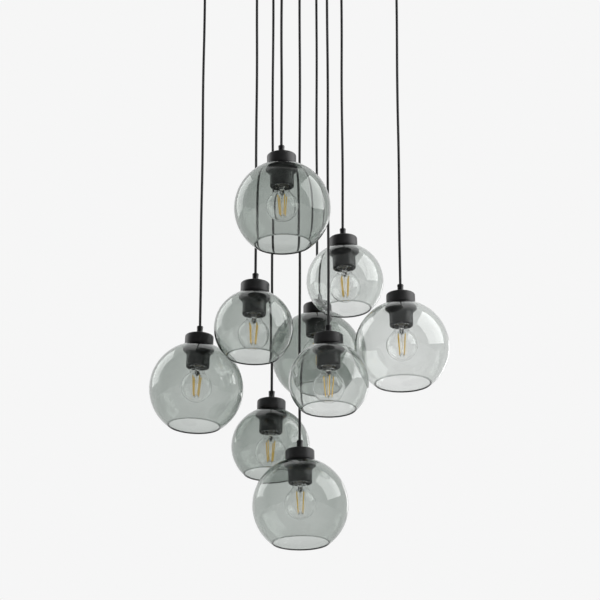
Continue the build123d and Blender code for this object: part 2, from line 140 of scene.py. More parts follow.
class PendantSizes(bpy.types.PropertyGroup):
    """Sizes of the pieces that the frame's outlines don't give."""

    cap_height: length("Cap height", "From the cap's rim to its flat top", 21 * MM)
    cap_wall: length("Cap wall", "Thickness of the spun metal cap", 1.5 * MM)
    cap_edge: length("Cap edge", "Radius of the cap's upper edge", 3.5 * MM)
    grip_height: length("Grip height", "Height of the cord grip on the cap", 19 * MM)
    glass_wall: length("Glass wall", "Thickness of the blown globes", 2.8 * MM)
    neck_radius: length("Neck radius", "Radius of a globe's opening under its cap", 21.5 * MM)
    glass_wave: length("Glass waviness", "How far hand blowing leaves the globe from round", 0.12 * MM)
    barrel_radius: length("Barrel radius", "Outer radius of the lampholder", 19.6 * MM)
    barrel_bottom: length("Barrel depth", "The lampholder's lower edge, below the cap's rim", 42.2 * MM)
    skirt_radius: length("Skirt radius", "Radius of the shade ring's skirt", 22.5 * MM)
    flange_radius: length("Flange radius", "Radius of the shade ring where it holds the glass", 30.5 * MM)
    bulb_radius: length("Bulb radius", "Radius of the bulb's round end", 30 * MM)
    bulb_length: length("Bulb length", "From the bulb's round end to its contact", 106 * MM)
    bulb_wall: length("Bulb wall", "Thickness of the bulb's glass", 0.7 * MM)
    thread_pitch: length("Thread pitch", "Pitch of the bulb's round thread", 3.63 * MM)
    thread_depth: length("Thread depth", "Depth of the bulb's round thread", 0.7 * MM)
    filament_length: length("Filament length", "Length of one light strip", 39 * MM)
    filament_radius: length("Filament radius", "Half the thickness of one light strip", 1.15 * MM)
    filaments: IntProperty(name="Filaments", description="Light strips in each bulb", default=4, min=1)
    turning_steps: IntProperty(
        name="Turning steps", description="Faces round a turned piece", default=96, min=24
    )


class PendantColours(bpy.types.PropertyGroup):
    """Colours of the finishes."""

    coat: colour("Powder coat", "Caps and canopy", (0.016, 0.016, 0.017, 1))
    moulding: colour("Black plastic", "Lampholders and cord grips", (0.007, 0.007, 0.008, 1))
    flex: colour("Cord", "Outer sheath of the cords", (0.010, 0.010, 0.011, 1))
    smoke: colour("Smoke", "What the deepest globe's glass lets through", (0.366, 0.423, 0.384, 1))
    # The rim's darker tint is a painted shade for the dark line that shows along each globe's mouth.
    rim: colour("Rim", "What each face of a globe's melted rim lets through", (0.42, 0.44, 0.43, 1))
    filament: colour("Light strips", "Amber coating of the strips", (0.88, 0.58, 0.10, 1))
    brass: colour("Bulb base", "Plated sleeve of the bulb", (0.62, 0.55, 0.38, 1))
    zinc: colour("Zinc plate", "Bracket and screws", (0.62, 0.62, 0.60, 1))
    porcelain: colour("White plastic", "Terminal block", (0.80, 0.80, 0.77, 1))
    smoke_density: FloatProperty(
        name="Smoke density", description="Absorption in the deepest globe, per metre", default=300, min=0
    )


class StudioSettings(bpy.types.PropertyGroup):
    """The camera, the lamps and the pale surroundings."""

    lens: FloatProperty(
        name="Lens", description="Focal length on a 36 mm frame", default=156, unit="CAMERA"
    )
    distance: length("Camera distance", "From the camera to the cluster's axis", 4.683)
    eye_height: length("Camera height", "The camera's height below the ceiling", -2.510)
    tilt: FloatProperty(
        name="Tilt", description="How far the camera looks up", default=math.radians(20.13), subtype="ANGLE"
    )
    background: FloatProperty(
        name="Background", description="Brightness of the surroundings", default=0.922
    )
    fill: FloatProperty(name="Fill", description="Brightness of the light from all round", default=0.45)
    front_shade: FloatProperty(
        name="Front shade", description="Brightness of the room's dark side", default=0.07
    )
    side_shade: FloatProperty(
        name="Side shade",
        description="Brightness beside the backdrop, as bent through the glass",
        default=0.72,
    )
    floor_drop: length("Floor drop", "The floor's height below the ceiling", -2.62)


# --- Sections and meshes ------------------------------------------------------
def arc(radius, start, end, centre=(0.0, 0.0), steps=24):
    """Points of a round stretch, from one angle to another in radians."""
    angles = [start + (end - start) * step / steps for step in range(steps + 1)]
    return [
        (centre[0] + radius * math.cos(angle), centre[1] + radius * math.sin(angle))
        for angle in angles
    ]


def outline(*corners, steps=5):
    """A closed section from its corners, (radius, height) or (radius, height, fillet)."""
    points = []
    for index, corner in enumerate(corners):
        here = Vector(corner[:2])
        if len(corner) == 2:
            points.append(tuple(here))
            continue
        before = (Vector(corners[index - 1][:2]) - here).normalized()
        after = (Vector(corners[(index + 1) % len(corners)][:2]) - here).normalized()
        half_turn = before.angle(after) / 2
        reach = corner[2] / math.tan(half_turn)
        centre = here + (before + after).normalized() * corner[2] / math.sin(half_turn)
        first, last = here + before * reach - centre, here + after * reach - centre
        for step in range(steps + 1):
            way = first.lerp(last, step / steps).normalized()
            points.append(tuple(centre + way * corner[2]))
    return points


def skin(name, rings, steps, closed):
    """A mesh through rings of points, where a ring of one point is a pole."""
    vertices, starts = [], []
    for ring in rings:
        starts.append(len(vertices))
        vertices.extend(ring)
    pairs = list(zip(range(len(rings)), range(1, len(rings)))) + ([(len(rings) - 1, 0)] if closed else [])
    faces = []
    for low, high in pairs:
        for step in range(steps):
            following = (step + 1) % steps
            face = []
            for ring, order in ((low, (step, following)), (high, (following, step))):
                if len(rings[ring]) == 1:
                    face.append(starts[ring])
                else:
                    face.extend(starts[ring] + place for place in order)
            faces.append(face)
    mesh = bpy.data.meshes.new(name)
    mesh.from_pydata(vertices, [], faces)
    mesh.validate()
    return mesh


def turned(name, section, steps=None, closed=True, shape=None, sharp=math.radians(35)):
    """A piece turned about Z from its section. shape(radius, height, angle) may move a point."""
    steps = steps or bpy.context.scene.pendant_sizes.turning_steps
    rings = []
    for radius, height in section:
        if radius < 1e-6:
            rings.append([(0, 0, height)])
            continue
        ring = []
        for step in range(steps):
            angle = math.tau * step / steps
            across, up = shape(radius, height, angle) if shape else (radius, height)
            ring.append((across * math.cos(angle), across * math.sin(angle), up))
        rings.append(ring)
    mesh = skin(name, rings, steps, closed)
    face_outward(mesh)
    mesh.shade_smooth()
    mesh.set_sharp_from_angle(angle=sharp)
    return mesh


def face_outward(mesh):
    """Turn a closed mesh's faces outward: their volume is positive then."""
    volume = 0.0
    for face in mesh.polygons:
        corners = [mesh.vertices[index].co for index in face.vertices]
        for second, third in zip(corners[1:], corners[2:]):
            volume += corners[0].dot(second.cross(third))
    if volume < 0:
        mesh.flip_normals()


def line(name, runs, radius, sides=3):
    """A round-bodied curve, with each run's points on one smooth line."""
    curve = bpy.data.curves.new(name, "CURVE")
    curve.dimensions = "3D"
    curve.bevel_depth = radius
    curve.bevel_resolution = sides
    curve.use_fill_caps = True
    for run in runs:
        add_run(curve, run)
    return curve


def wires(name, runs, radius, sides=3):
    """Bent wires as one mesh: each run is a list of points on a smooth line."""
    drawn = bpy.data.objects.new(name, line(name, runs, radius, sides))
    bpy.context.scene.collection.objects.link(drawn)
    mesh = bpy.data.meshes.new_from_object(drawn.evaluated_get(bpy.context.evaluated_depsgraph_get()))
    bpy.data.curves.remove(drawn.data)
    mesh.shade_smooth()
    mesh.set_sharp_from_angle(angle=math.radians(50))
    return mesh


def add_run(curve, points):
    spline = curve.splines.new("NURBS")
    spline.points.add(len(points) - 1)
    for point, place in zip(spline.points, points):
        point.co = (*place, 1)
    spline.order_u = 3
    spline.use_endpoint_u = True
    spline.resolution_u = 10


# --- Placing pieces -------------------------------------------------------------
def joint(name):
    return next(found for found in frame["joints"] if found["name"] == name)


def hung(number, turn=0.0):
    """Where a pendant's rim hangs, from the joint that its bulb turns on, turned by some degrees."""
    turning = joint(f"unscrew_{number}")
    axis = Vector(turning["axis"])
    rim = Vector(turning["pos_m"]) - axis * BULB_CENTRE
    lean = Vector((0, 0, 1)).rotation_difference(axis).to_matrix().to_4x4()
    return Matrix.Translation(rim) @ lean @ Matrix.Rotation(math.radians(turn), 4, "Z")


def piece(name, data, material, body, place=None, replaced=()):
    """Link one piece of the object, give it its finish and let it ride on its body."""
    made = bpy.data.objects.new(name, data)
    bpy.context.scene.collection.objects.link(made)
    if not data.materials:
        data.materials.append(material)
    if place:
        made.matrix_world = place
    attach(made, body)
    if replaced:
        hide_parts(*replaced)
    return made


def dress(node, material):
    """Give a piece of the frame its finish."""
    mesh = frame["nodes"][node].data
    mesh.materials.clear()
    mesh.materials.append(material)


# --- Shader nodes -----------------------------------------------------------------
class Signal:
    """A node's output, which Python's operators join to Math nodes."""

    def __init__(self, nodes, socket):
        self.nodes = nodes
        self.socket = socket

    def joined(self, operation, first, second):
        return self.nodes.node("ShaderNodeMath", {"operation": operation}, {0: first, 1: second})

    def __add__(self, other):
        return self.joined("ADD", self, other)

    def __radd__(self, other):
        return self.joined("ADD", other, self)

    def __sub__(self, other):
        return self.joined("SUBTRACT", self, other)

    def __rsub__(self, other):
        return self.joined("SUBTRACT", other, self)

    def __mul__(self, other):
        return self.joined("MULTIPLY", self, other)

    def __rmul__(self, other):
        return self.joined("MULTIPLY", other, self)


class Nodes:
    """A node tree that is being wired."""

    # A Mix node's sockets for colours, whose names its other types share.
    MIX_FACTOR, MIX_FIRST, MIX_SECOND, MIX_RESULT = 0, 6, 7, 2

    def __init__(self, tree):
        self.tree = tree
        self.tree.nodes.clear()

    def node(self, kind, settings=None, inputs=None, output=0):
        """Add a node: its settings first, then the values or links of its sockets."""
        added = self.tree.nodes.new(kind)
        for name, value in (settings or {}).items():
            setattr(added, name, value)
        for name, value in (inputs or {}).items():
            if isinstance(value, Signal):
                self.tree.links.new(value.socket, added.inputs[name])
            else:
                added.inputs[name].default_value = value
        return Signal(self, added.outputs[output]) if added.outputs else None

    def place(self, stretch=(1, 1, 1)):
        """The surface's own coordinates, in metres, scaled along each axis."""
        own = self.node("ShaderNodeTexCoord", output="Object")
        return self.node("ShaderNodeMapping", inputs={"Vector": own, "Scale": stretch})

    def cloud(self, size, detail=2.0, stretch=(1, 1, 1)):
        """Soft noise about 0.5, whose patches are about so many metres across."""
        return self.node(
            "ShaderNodeTexNoise",
            inputs={"Vector": self.place(stretch), "Scale": 1 / size, "Detail": detail},
        )

    def between(self, low, high, signal):
        """A mask that rises smoothly from 0 to 1 as a signal goes from low to high."""
        return self.node(
            "ShaderNodeMapRange",
            {"interpolation_type": "SMOOTHSTEP"},
            {"Value": signal, "From Min": low, "From Max": high},
        )

    def mixed(self, factor, first, second):
        """One colour over another."""
        return self.node(
            "ShaderNodeMix",
            {"data_type": "RGBA"},
            {self.MIX_FACTOR: factor, self.MIX_FIRST: first, self.MIX_SECOND: second},
            self.MIX_RESULT,
        )

    def bump(self, height, depth, strength=1.0, under=None):
        """A normal from a height that spans so many metres."""
        inputs = {"Height": height, "Distance": depth, "Strength": strength}
        if under:
            inputs["Normal"] = under
        return self.node("ShaderNodeBump", inputs=inputs)


class Finish(Nodes):
    """A material that is being wired."""

    def __init__(self, name):
        self.material = bpy.data.materials.new(name)
        self.material.use_nodes = True
        super().__init__(self.material.node_tree)

    def done(self, inputs, volume=None):
        """End in a Principled surface, and in a volume if one is given."""
        ends = {"Surface": self.node("ShaderNodeBsdfPrincipled", inputs=inputs)}
        if volume:
            ends["Volume"] = volume
        self.node("ShaderNodeOutputMaterial", inputs=ends)
        return self.material


def shade(tone, factor):
    """A colour made lighter or darker."""
    return tuple(min(channel * factor, 1.0) for channel in tone[:3]) + (1.0,)


# --- Finishes ---------------------------------------------------------------------
def powder_coat(colours):
    """Satin near-black, with the fine orange peel that baked powder leaves and a little dust."""
    coat = Finish("black_powder_coat")
    peel = coat.cloud(0.7 * MM, detail=3)
    patches = coat.cloud(14 * MM)
    tone = coat.mixed(
        coat.between(0.35, 0.75, patches), shade(colours.coat, 0.85), shade(colours.coat, 1.35)
    )
    return coat.done({
        "Base Color": tone,
        "Roughness": 0.38 + patches * 0.14,
        "Normal": coat.bump(peel, 0.05 * MM, 0.35),
    })


def moulded_plastic(colours):
    """Satin black moulding, slightly pearled by its mould."""
    plastic = Finish("black_moulded_plastic")
    pearl = plastic.cloud(0.35 * MM, detail=2)
    flow = plastic.cloud(18 * MM, stretch=(1, 1, 0.3))
    tone = plastic.mixed(flow, shade(colours.moulding, 0.9), shade(colours.moulding, 1.4))
    return plastic.done({
        "Base Color": tone,
        "Roughness": 0.30 + flow * 0.12,
        "Normal": plastic.bump(pearl, 0.02 * MM, 0.3),
    })


def cord_sheath(colours):
    """Smooth black flex, with the faint lay of its cores and a rubbed sheen."""
    sheath = Finish("black_flex")
    lay = sheath.cloud(5 * MM, detail=1, stretch=(1, 1, 0.12))
    rubbed = sheath.cloud(40 * MM, stretch=(1, 1, 0.25))
    tone = sheath.mixed(rubbed, shade(colours.flex, 0.85), shade(colours.flex, 1.5))
    return sheath.done({
        "Base Color": tone,
        "Roughness": 0.50 + rubbed * 0.16,
        "Normal": sheath.bump(lay, 0.06 * MM, 0.3),
    })


def smoked_glass(colours, number, foot):
    """Blown smoke-grey glass: its tint is in its body, and the rim at its foot was melted round. The rim's
    faces get a darker tint, a painted shade for the dark line along the mouth's edge.
    """
    glass = Finish(f"smoked_glass_{number}")
    own = glass.node("ShaderNodeTexCoord", output="Object")
    height = glass.node("ShaderNodeSeparateXYZ", inputs={"Vector": own}, output="Z")
    # Mask of the rim's lowest faces, which are given a painted shade.
    rim = glass.between(foot + 2.2 * MM, foot + 1.4 * MM, height)
    drawn = glass.cloud(45 * MM, detail=1, stretch=(1, 1, 0.5))
    handled = glass.between(0.55, 0.8, glass.cloud(9 * MM, detail=4))
    body = glass.node(
        "ShaderNodeVolumeAbsorption",
        inputs={"Color": colours.smoke, "Density": colours.smoke_density * SMOKE[number]},
    )
    return glass.done({
        # Painted shade: the rim's faces let less light through than the rest of the glass.
        "Base Color": glass.mixed(rim, (1, 1, 1, 1), colours.rim),
        "Roughness": handled * 0.03,
        "IOR": 1.5,
        "Transmission Weight": 1.0,
        "Normal": glass.bump(drawn, 0.02 * MM, 0.1),
    }, body)


def bulb_glass():
    """Clear thin bulb glass."""
    glass = Finish("clear_bulb_glass")
    drawn = glass.cloud(20 * MM, detail=1)
    return glass.done({
        "Base Color": (1, 1, 1, 1),
        "Roughness": 0.0,
        "IOR": 1.5,
        "Transmission Weight": 1.0,
        "Normal": glass.bump(drawn, 0.02 * MM, 0.2),
    })


def metal(name, tone, grain=0.4 * MM, roughness=0.28, stretch=(1, 1, 1)):
    """Plated metal, with a fine grain and slight tarnish."""
    plate = Finish(name)
    tarnish = plate.cloud(4 * MM, detail=3)
    lines = plate.cloud(grain, detail=2, stretch=stretch)
    return plate.done({
        "Base Color": plate.mixed(tarnish, shade(tone, 0.8), shade(tone, 1.1)),
        "Metallic": 1.0,
        "Roughness": roughness + tarnish * 0.14,
        "Normal": plate.bump(lines, 0.02 * MM, 0.3),
    })


def strip_coating(colours):
    """The amber phosphor over a light strip, a little uneven along it."""
    coating = Finish("amber_strip_coating")
    uneven = coating.cloud(2.5 * MM, detail=2)
    tone = coating.mixed(uneven, shade(colours.filament, 0.85), shade(colours.filament, 1.1))
    return coating.done({
        "Base Color": tone,
        "Roughness": 0.45 + uneven * 0.1,
        "Emission Color": tone,
        "Emission Strength": 0.35,
        "Normal": coating.bump(uneven, 0.1 * MM, 0.4),
    })


def plain_moulding(name, tone):
    """Pale or black insulating plastic, with a fine moulded skin."""
    moulding = Finish(name)
    skin_grain = moulding.cloud(0.5 * MM, detail=2)
    patches = moulding.cloud(12 * MM)
    return moulding.done({
        "Base Color": moulding.mixed(patches, shade(tone, 0.93), tone),
        "Roughness": 0.45 + patches * 0.1,
        "Normal": moulding.bump(skin_grain, 0.03 * MM, 0.3),
    })


# --- Cords --------------------------------------------------------------------------
def hang_cord(number, sheath):
    """One cord, straight down from its grip in the canopy but for the set of its coil."""
    low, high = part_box(f"cord_{number}")
    middle = (low + high) / 2
    radius = CORD_THICKENING * node_radius(f"cord_{number}")
    straight = 12 * radius
    span = high.z - low.z
    waves = [
        (middle.x + CORD_STEP * right * MM, middle.y, high.z - share * span)
        for share, right in CORD_WAVES[number]
    ]
    points = [
        (middle.x, middle.y, high.z),
        (middle.x, middle.y, high.z - straight),
        *waves,
        (middle.x, middle.y, low.z + straight),
        (middle.x, middle.y, low.z),
    ]
    curve = line(f"cord_{number}_line", [points], radius, sides=6)
    cord = piece(
        f"cord_{number}_flex", curve, sheath, f"pendant_{number}", replaced=[f"cord_{number}"]
    )


# --- Caps and cord grips ----------------------------------------------------------------
def cap_mesh(sizes):
    """A spun metal cup, open below, with a hole for the lampholder's nipple."""
    radius, top, wall = node_radius(f"cap_{PENDANTS[0]}"), sizes.cap_height, sizes.cap_wall
    hole = 5 * MM
    lip = 0.3 * wall
    return turned("cap", outline(
        (hole, top, lip), (radius, top, sizes.cap_edge), (radius, 0, lip), (radius - wall, 0, lip),
        (radius - wall, top - wall, sizes.cap_edge - wall), (hole, top - wall, lip),
    ))


def grip_mesh(sizes):
    """The cord grip on the cap: a foot, a waist and a rounded head with the cord's bore."""
    foot, top = sizes.cap_height, sizes.cap_height + sizes.grip_height
    foot_radius, waist_radius, head_radius, bore = 6.4 * MM, 5.7 * MM, 6.1 * MM, 2.6 * MM
    foot_top, head_edge, steps = foot + 3 * MM, 1.4 * MM, 12
    waist = []
    for step in range(steps + 1):
        share = step / steps
        rise = foot_top + share * (top - head_edge - foot_top)
        end = foot_radius + (head_radius - foot_radius) * share
        waist.append((end - (end - waist_radius) * math.sin(math.pi * share), rise))
    head = arc(head_edge, 0, math.pi / 2, centre=(head_radius - head_edge, top - head_edge), steps=6)
    section = [(bore, foot), (foot_radius - 0.3 * MM, foot), (foot_radius, foot + 0.3 * MM)]
    return turned(
        "cord_grip", section + waist + head + [(bore + 0.5 * MM, top), (bore, top - 0.5 * MM)], 64
    )


# --- Globes --------------------------------------------------------------------------
def globe_centre(node):
    """A globe's centre below its cap's rim, on which the glass all but touches."""
    bore = node_radius(f"cap_{PENDANTS[0]}") - bpy.context.scene.pendant_sizes.cap_wall
    return -math.sqrt(node_radius(node) ** 2 - bore**2) - 0.3 * MM


def globe_mesh(number, sizes):
    """A blown globe with a fire-polished mouth, a little out of round."""
    node = f"glass_shade_{number}"
    outer = node_radius(node)
    inner = outer - sizes.glass_wall
    centre = globe_centre(node)
    low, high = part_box(node)
    depth = (high.z - low.z) - math.sqrt(outer**2 - sizes.neck_radius**2)
    mouth = -math.asin(min(depth / outer, 1.0))
    neck = math.acos(sizes.neck_radius / outer)
    rim_middle = (outer + inner) / 2
    rim_centre = (rim_middle * math.cos(mouth), centre + rim_middle * math.sin(mouth))
    half_wall = sizes.glass_wall / 2
    section = arc(outer, neck, mouth, centre=(0, centre), steps=88)
    section += arc(half_wall, mouth, mouth - math.pi, centre=rim_centre, steps=10)[1:-1]
    section += arc(inner, mouth, math.acos(sizes.neck_radius / inner), centre=(0, centre), steps=88)

    def blown(radius, height, angle):
        way = Vector((radius * math.cos(angle), radius * math.sin(angle), height - centre)).normalized()
        swell = 1 + sizes.glass_wave / outer * noise.noise(way * 1.7 + Vector((7.0 * number, 0, 0)))
        return radius * swell, centre + (height - centre) * swell

    return turned(f"globe_{number}", section, steps=160, shape=blown, sharp=math.pi)


# --- Lampholders -------------------------------------------------------------------------
def barrel_mesh(sizes):
    """The lampholder's moulded barrel, with its domed shoulder inside the cap."""
    radius, top, bottom, wall = sizes.barrel_radius, 15 * MM, -sizes.barrel_bottom, 4 * MM
    bore, hole, edge = radius - wall, 5 * MM, 0.4 * MM
    return turned("lampholder_barrel", outline(
        (hole, top, edge), (radius, top, wall), (radius, bottom, edge), (bore, bottom, edge),
        (bore, 3 * MM, edge), (hole, 3 * MM, edge),
    ))


def shade_ring_mesh(node, sizes):
    """The flared ring that holds the glass against the cap, and its skirt."""
    centre = globe_centre(node)
    seat = node_radius(node) - sizes.glass_wall - 0.3 * MM
    bore = sizes.barrel_radius + 0.6 * MM
    skirt_bottom, mouth, lip, soft = -44 * MM, 18 * MM, 1.5 * MM, 0.7 * MM
    flange_top = centre + math.sqrt(seat**2 - sizes.flange_radius**2)
    flange_thickness, flare_height = 3.5 * MM, 14 * MM
    flange_bottom = flange_top - flange_thickness
    flare_bottom = flange_bottom - flare_height
    seat_start, seat_end = math.acos(bore / seat), math.acos(sizes.flange_radius / seat)
    section = arc(seat, seat_start, seat_end, centre=(0, centre), steps=10)
    section += arc(
        soft, math.pi / 2, 0, centre=(sizes.flange_radius - soft, flange_top - soft), steps=4
    )[1:]
    start = Vector((sizes.flange_radius, flange_bottom, 0))
    end = Vector((sizes.skirt_radius, flare_bottom, 0))
    flare = interpolate_bezier(
        start, start + Vector((-4, -4, 0)) * MM, end + Vector((0, 8, 0)) * MM, end, 16
    )
    section += [(point.x, point.y) for point in flare]
    round_edge = 3 * MM
    section += arc(
        round_edge, 0, -math.pi / 2,
        centre=(sizes.skirt_radius - round_edge, skirt_bottom + round_edge), steps=8,
    )
    section += [(mouth + 0.3 * MM, skirt_bottom), (mouth, skirt_bottom + 0.3 * MM)]
    section += [(mouth, skirt_bottom + lip), (bore, skirt_bottom + lip)]
    return turned("shade_ring", section)


def threaded(height_top, height_bottom, sizes, outward):
    """A shape that winds a round thread into a turned wall between two heights."""
    fade = sizes.thread_pitch * 0.6

    def wound(radius, height, angle):
        inside = min((height_top - height) / fade, (height - height_bottom) / fade, 1.0)
        if inside <= 0:
            return radius, height
        turn = height / sizes.thread_pitch - angle / math.tau
        return (
            radius + outward * inside * sizes.thread_depth * 0.5 * (math.cos(math.tau * turn) - 1),
            height,
        )

    return wound


def wall_points(radius, start, end, sizes):
    """Points down a wall, close enough together to carry a thread."""
    count = math.ceil(abs(start - end) / sizes.thread_pitch * 10)
    return [(radius, start + (end - start) * step / count) for step in range(count + 1)]


def screw_shell_mesh(sizes):
    """The lampholder's pressed screw shell, whose thread takes the bulb."""
    outer, top, bottom, sheet = 15.3 * MM, -3 * MM, -33 * MM, 0.5 * MM
    section = wall_points(outer, top, bottom, sizes) + wall_points(outer - sheet, bottom, top, sizes)
    shape = threaded(top - MM, bottom + MM, sizes, 1)
    return turned("screw_shell", section, shape=shape)


def insert_mesh():
    """The insulating plate across the barrel, which carries the contacts."""
    radius, top, bottom, edge = 15.3 * MM, 3 * MM, -3 * MM, 0.4 * MM
    section = outline((0, top), (radius, top, edge), (radius, bottom, edge), (0, bottom))
    return turned("contact_plate", section, closed=False)


def nipple_mesh(sizes):
    """The threaded tube that ties the cap to the lampholder and lets the cord in."""
    bore, radius, chamfer = 3 * MM, 4.9 * MM, 0.4 * MM
    bottom, top = 11 * MM, sizes.cap_height + 5.7 * MM
    return turned("nipple", outline(
        (bore, bottom, chamfer), (radius, bottom, chamfer), (radius, top, chamfer), (bore, top, chamfer),
    ), 48)


def centre_contact_mesh():
    """The sprung contact under the insulating plate, a hair above the bulb's tip."""
    radius, top, bottom = 4 * MM, -3 * MM, -6.2 * MM
    return turned(
        "centre_contact", outline((0, top), (radius, top), (radius, bottom, MM), (0, bottom)), 48, False
    )


# --- Bulbs ----------------------------------------------------------------------------------
def bulb_heights(sizes):
    """The heights of the bulb's contact, its sleeve's top and its sleeve's foot."""
    tip = BULB_CENTRE - sizes.bulb_radius + sizes.bulb_length
    return tip, tip - SLEEVE_TOP, tip - SLEEVE_FOOT


def bulb_base_mesh(sizes):
    """The plated sleeve that screws into the lampholder, with its rolled thread."""
    _, sleeve_top, foot = bulb_heights(sizes)
    radius, neck, sheet = 13.25 * MM, 14.1 * MM, 0.4 * MM
    collar = [(neck - sheet, foot), (neck, foot), (neck, foot + 2 * MM), (radius, foot + 3.5 * MM)]
    wall = wall_points(radius, foot + 4 * MM, sleeve_top - MM, sizes)
    shoulder = [(radius - sizes.thread_depth, sleeve_top - 0.3 * MM), (10.2 * MM, sleeve_top + MM)]
    inside = [
        (9.8 * MM, sleeve_top), (radius - 2 * MM, sleeve_top - 1.5 * MM), (radius - 2 * MM, foot + MM),
    ]
    shape = threaded(sleeve_top - MM, foot + 5 * MM, sizes, 1)
    return turned("bulb_base", collar + wall + shoulder + inside, shape=shape, sharp=math.radians(50))


def bulb_insulator_mesh(sizes):
    """The dark glass cone between the sleeve and the contact."""
    tip, sleeve_top, _ = bulb_heights(sizes)
    return turned("bulb_insulator", [
        (0, sleeve_top - MM), (9.6 * MM, sleeve_top - 0.5 * MM), (10 * MM, sleeve_top + 0.8 * MM),
        (5.4 * MM, tip - 1.9 * MM), (4.6 * MM, tip - 1.5 * MM), (0, tip - 1.5 * MM),
    ], 64, closed=False)


def bulb_contact_mesh(sizes):
    """The soldered centre contact."""
    tip = bulb_heights(sizes)[0]
    dome = [(4.4 * MM * math.cos(angle), tip - 1.4 * MM + 1.4 * MM * math.sin(angle))
            for angle in (math.pi / 2 * step / 6 for step in range(6))]
    return turned(
        "bulb_contact", [(0, tip - 2 * MM), (4.4 * MM, tip - 2 * MM), *dome, (0, tip)], 48, closed=False
    )


def envelope_wall(sizes, inset):
    """One face of the bulb's glass, from its neck to its round end, drawn in by an inset."""
    foot = bulb_heights(sizes)[2]
    radius, neck, neck_end = sizes.bulb_radius - inset, 14.0 * MM - inset, -44 * MM
    shoulder = math.radians(40)
    meeting = Vector((radius * math.cos(shoulder), BULB_CENTRE + radius * math.sin(shoulder), 0))
    start = Vector((neck, neck_end, 0))
    drop = (neck_end - meeting.y) * 0.5
    slope = Vector((math.sin(shoulder), -math.cos(shoulder), 0))
    curve = interpolate_bezier(start, start - Vector((0, drop, 0)), meeting - slope * drop, meeting, 20)
    ball = arc(radius, shoulder, -math.pi / 2, centre=(0, BULB_CENTRE), steps=44)
    return (
        [(neck, foot)] + [(point.x, point.y) for point in curve]
        + ball[1:-1] + [(0, BULB_CENTRE - radius)]
    )


def envelope_mesh(sizes):
    """The pear-shaped envelope, thin and open where the stem is sealed in."""
    outside = envelope_wall(sizes, 0)
    inside = envelope_wall(sizes, sizes.bulb_wall)
    return shell_of(turned("bulb_envelope", outside, 96, closed=False, sharp=math.pi),
                    turned("bulb_envelope_inside", inside, 96, closed=False, sharp=math.pi), 96)


def shell_of(outside, inside, steps):
    """One closed wall from an outer and an inner skin that share their steps round the mouth."""
    count = len(outside.vertices)
    vertices = [tuple(vertex.co) for mesh in (outside, inside) for vertex in mesh.vertices]
    faces = [list(face.vertices) for face in outside.polygons]
    faces += [[count + index for index in reversed(face.vertices)] for face in inside.polygons]
    faces += [[step, (step + 1) % steps, count + (step + 1) % steps, count + step] for step in range(steps)]
    shell = bpy.data.meshes.new(outside.name)
    shell.from_pydata(vertices, [], faces)
    face_outward(shell)
    shell.shade_smooth()
    bpy.data.meshes.remove(inside)
    return shell


def stem_mesh(sizes):
    """The hollow flared stem, its flat pinch and the rod that carries the lower wires."""
    foot = bulb_heights(sizes)[2]
    rod, end, wall, hollow_end = 1.5 * MM, BULB_CENTRE - 19 * MM, 0.8 * MM, foot - 14.5 * MM
    flare = interpolate_bezier(
        Vector((11.5 * MM, foot - 0.2 * MM, 0)), Vector((5 * MM, foot - 3 * MM, 0)),
        Vector((5 * MM, foot - 10 * MM, 0)), Vector((4.6 * MM, foot - 16 * MM, 0)), 14,
    )
    section = [(0, hollow_end)]
    section += [(point.x - wall, point.y) for point in reversed(flare) if point.y > hollow_end]
    section += [(point.x, point.y) for point in flare]
    section += [(4.2 * MM, foot - 19 * MM), (2.6 * MM, foot - 21.5 * MM), (rod, foot - 23.5 * MM)]
    section += [(rod, end + 3 * MM), (2.1 * MM, end + 1.5 * MM), (1.6 * MM, end + 0.3 * MM), (0, end)]

    def pinched(radius, height, angle):
        squeeze = max(0.0, 1 - abs(height - (foot - 18 * MM)) / (6 * MM))
        return (
            radius * (1 - 0.45 * squeeze * abs(math.sin(angle)) + 0.25 * squeeze * abs(math.cos(angle))),
            height,
        )

    return turned("bulb_stem", section, 48, closed=False, shape=pinched, sharp=math.pi)


def strip_ends(sizes, index):
    """The upper and lower end of one light strip, which lean in towards the foot."""
    angle = math.tau * index / sizes.filaments
    way = Vector((math.cos(angle), math.sin(angle), 0))
    half = Vector((0, 0, sizes.filament_length / 2))
    middle = Vector((0, 0, BULB_CENTRE + 1.5 * MM))
    return middle + way * 9.5 * MM + half, middle + way * 6 * MM - half


def strips_mesh(sizes):
    """The coated light strips."""
    runs = []
    for index in range(sizes.filaments):
        top, bottom = strip_ends(sizes, index)
        runs.append([top.lerp(bottom, share) for share in (0, 0.33, 0.67, 1)])
    return wires("light_strips", runs, sizes.filament_radius, sides=4)


def bulb_wires_mesh(sizes):
    """Lead wires from the stem to the strips, their end tabs, and the hooks at the rod's foot."""
    foot = bulb_heights(sizes)[2]
    pinch = foot - 19 * MM
    rod_end = BULB_CENTRE - 18 * MM
    runs = []
    for index in range(sizes.filaments):
        top, bottom = strip_ends(sizes, index)
        along = (top - bottom).normalized()
        outward = Vector((top.x, top.y, 0)).normalized()
        lead = outward * 2.4 * MM + Vector((0, 0, pinch))
        tab = top + along * 2.2 * MM
        runs.append([
            lead + Vector((0, 0, 6 * MM)), lead, lead.lerp(tab, 0.5) + outward * 2.5 * MM, tab, top,
        ])
        hook = bottom - along * 2.6 * MM
        anchor = outward * 1.2 * MM + Vector((0, 0, rod_end + 2 * MM))
        runs.append([bottom, hook, hook.lerp(anchor, 0.5) - Vector((0, 0, 2.4 * MM)), anchor])
    return wires("bulb_wires", runs, 0.35 * MM, sides=2)


# --- Operators --------------------------------------------------------------------------------
class HangCords(bpy.types.Operator):
    """Hang the cords, each from its grip in the canopy to the grip on its cap"""

    bl_idname = "pendant.hang_cords"
    bl_label = "Hang the cords"

    def execute(self, context):
        sheath = cord_sheath(context.scene.pendant_colours)
        for number in PENDANTS:
            hang_cord(number, sheath)
        return {"FINISHED"}


